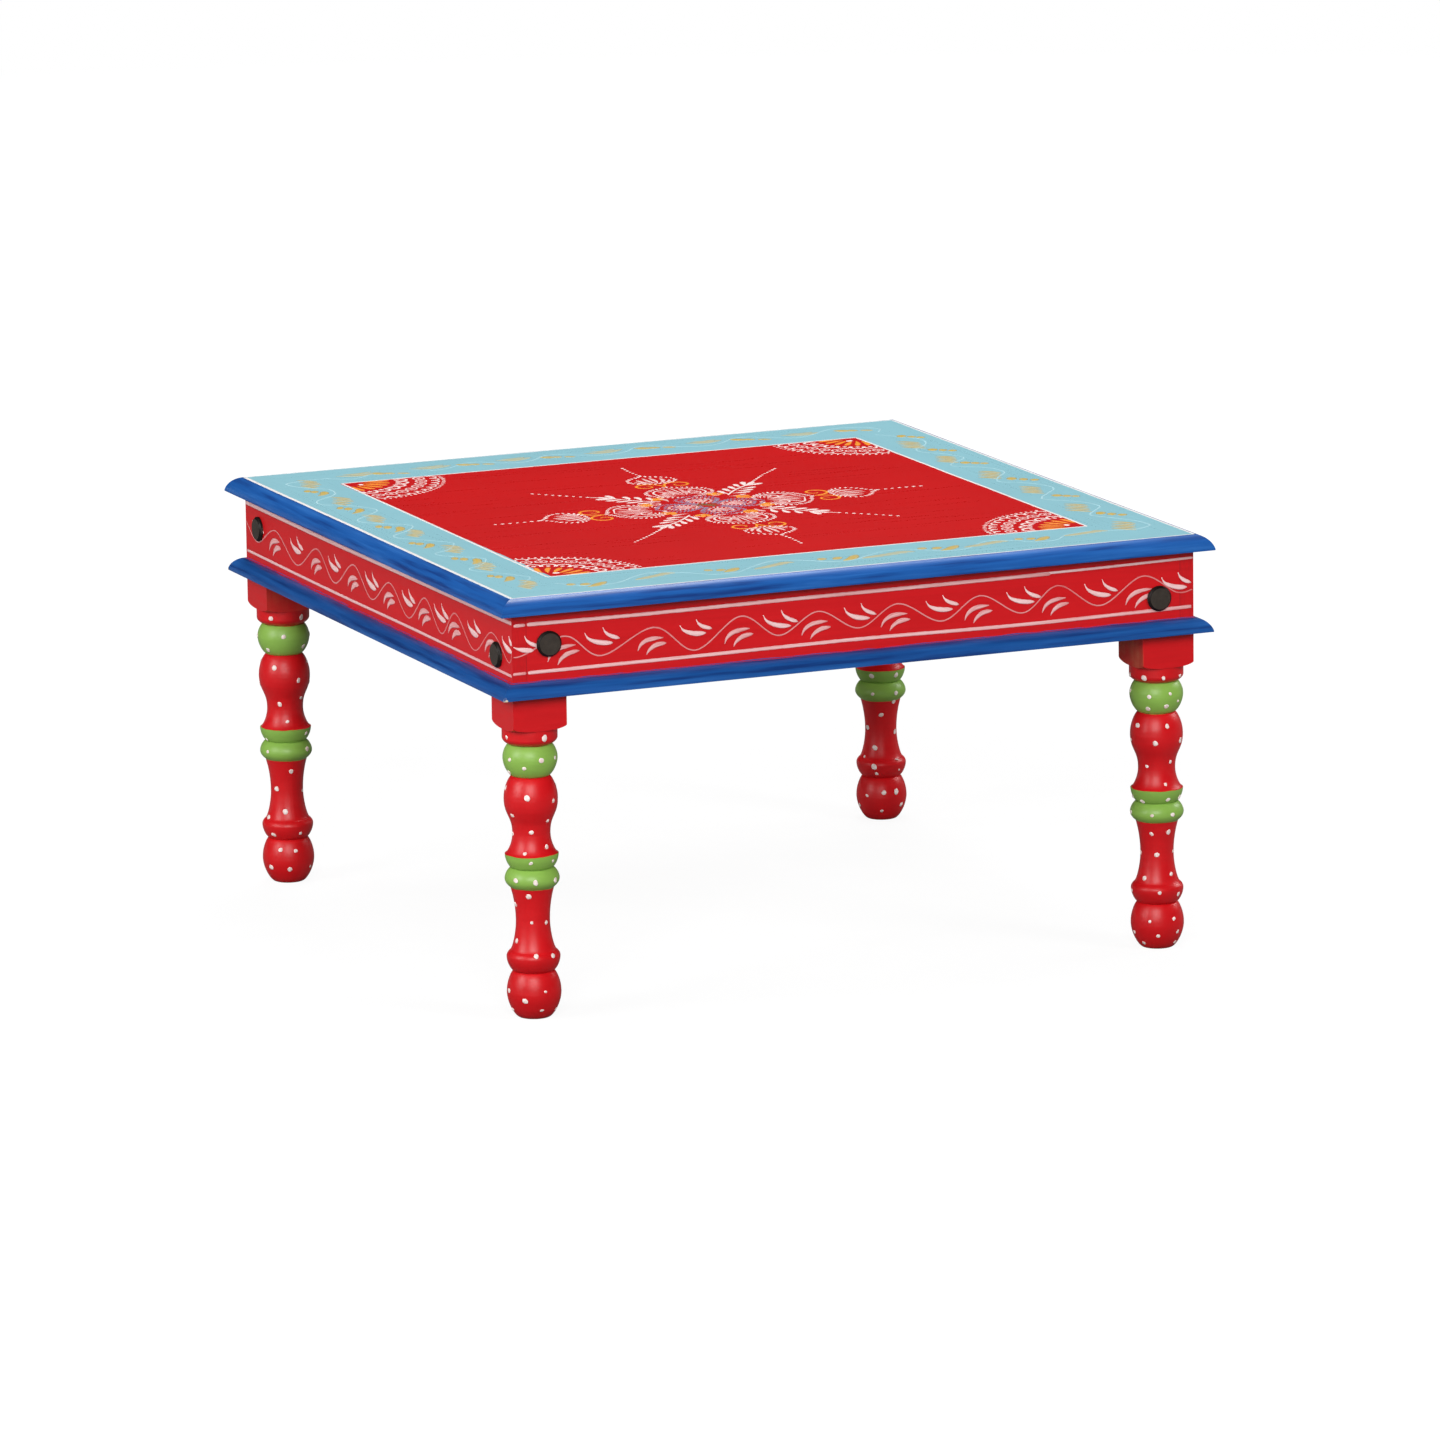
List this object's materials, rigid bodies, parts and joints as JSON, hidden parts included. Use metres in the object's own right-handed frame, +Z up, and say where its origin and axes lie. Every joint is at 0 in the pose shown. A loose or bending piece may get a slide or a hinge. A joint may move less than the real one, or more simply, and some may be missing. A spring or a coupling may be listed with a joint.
{
  "type": "low table",
  "caption": "Low square table on turned legs: framed top with a rounded edge, apron with crossing leg bolts, mitred lower moulding, painted floral ornament.",
  "frame": {"origin": "middle of the square on the floor", "axes": "+Z up, +X right along the front, +Y to the back; the front is the side on the right in the picture"},
  "size_m": [0.6, 0.6, 0.3318],
  "materials": {
    "red_paint": "satin paint",
    "light_blue_paint": "satin paint",
    "blue_paint": "satin paint",
    "bare_wood": "planed",
    "blackened_iron": "blackened",
    "zinc_plated_steel": "zinc plated",
    "white_paint": "satin paint, brushed ornament",
    "ochre_paint": "satin paint, brushed ornament",
    "orange_paint": "satin paint, brushed ornament",
    "lilac_paint": "satin paint, brushed ornament",
    "green_paint": "satin paint, brushed ornament"
  },
  "bodies": {
    "root": {"top_panel": "red_paint", "top_edge_board_front": "light_blue_paint", "apron_front": "red_paint", "lower_moulding_front": "blue_paint", "cleat_front": "bare_wood", "top_edge_board_right": "light_blue_paint", "apron_right": "red_paint", "lower_moulding_right": "blue_paint", "cleat_right": "bare_wood", "top_edge_board_back": "light_blue_paint", "apron_back": "red_paint", "lower_moulding_back": "blue_paint", "cleat_back": "bare_wood", "top_edge_board_left": "light_blue_paint", "apron_left": "red_paint", "lower_moulding_left": "blue_paint", "cleat_left": "bare_wood", "leg_front_left": "red_paint", "leg_bolts_front_left": "blackened_iron", "leg_washers_front_left": "zinc_plated_steel", "leg_nuts_front_left": "zinc_plated_steel", "leg_front_right": "red_paint", "leg_bolts_front_right": "blackened_iron", "leg_washers_front_right": "zinc_plated_steel", "leg_nuts_front_right": "zinc_plated_steel", "leg_back_right": "red_paint", "leg_bolts_back_right": "blackened_iron", "leg_washers_back_right": "zinc_plated_steel", "leg_nuts_back_right": "zinc_plated_steel", "leg_back_left": "red_paint", "leg_bolts_back_left": "blackened_iron", "leg_washers_back_left": "zinc_plated_steel", "leg_nuts_back_left": "zinc_plated_steel", "top_screws": "zinc_plated_steel", "apron_screws": "zinc_plated_steel", "apron_corner_brads": "zinc_plated_steel", "moulding_brads": "zinc_plated_steel"}
  },
  "joints": []
}
